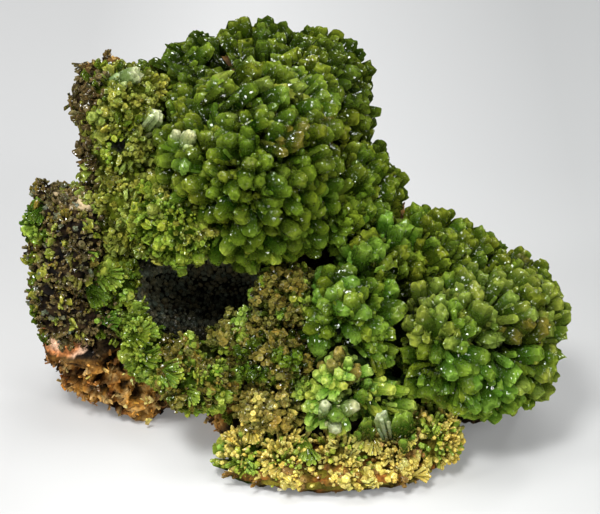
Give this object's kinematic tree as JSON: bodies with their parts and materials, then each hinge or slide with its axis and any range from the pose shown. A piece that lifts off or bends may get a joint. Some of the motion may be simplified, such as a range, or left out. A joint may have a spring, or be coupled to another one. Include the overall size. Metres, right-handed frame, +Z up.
{
  "type": "pyromorphite specimen",
  "caption": "Mineral specimen: domed sprays of green hexagonal pyromorphite crystals on brown limonite rock, with a dark crystal-lined hollow in its front.",
  "frame": {"origin": "centre of the specimen's outline in plan, on the surface it rests on", "axes": "+Z up, +X to the right as the specimen is shown, -Y to the front with the hollow"},
  "size_m": [0.0965, 0.0604, 0.0682],
  "materials": {
    "pyromorphite": "resinous, translucent",
    "limonite": "earthy, rough",
    "drusy_crust": "dark, finely crystalline"
  },
  "bodies": {
    "root": {"pyromorphite_crystals": "pyromorphite", "left_tip_crystals": "pyromorphite", "limonite_rock": "limonite", "hollow_crust": "drusy_crust"}
  },
  "joints": []
}
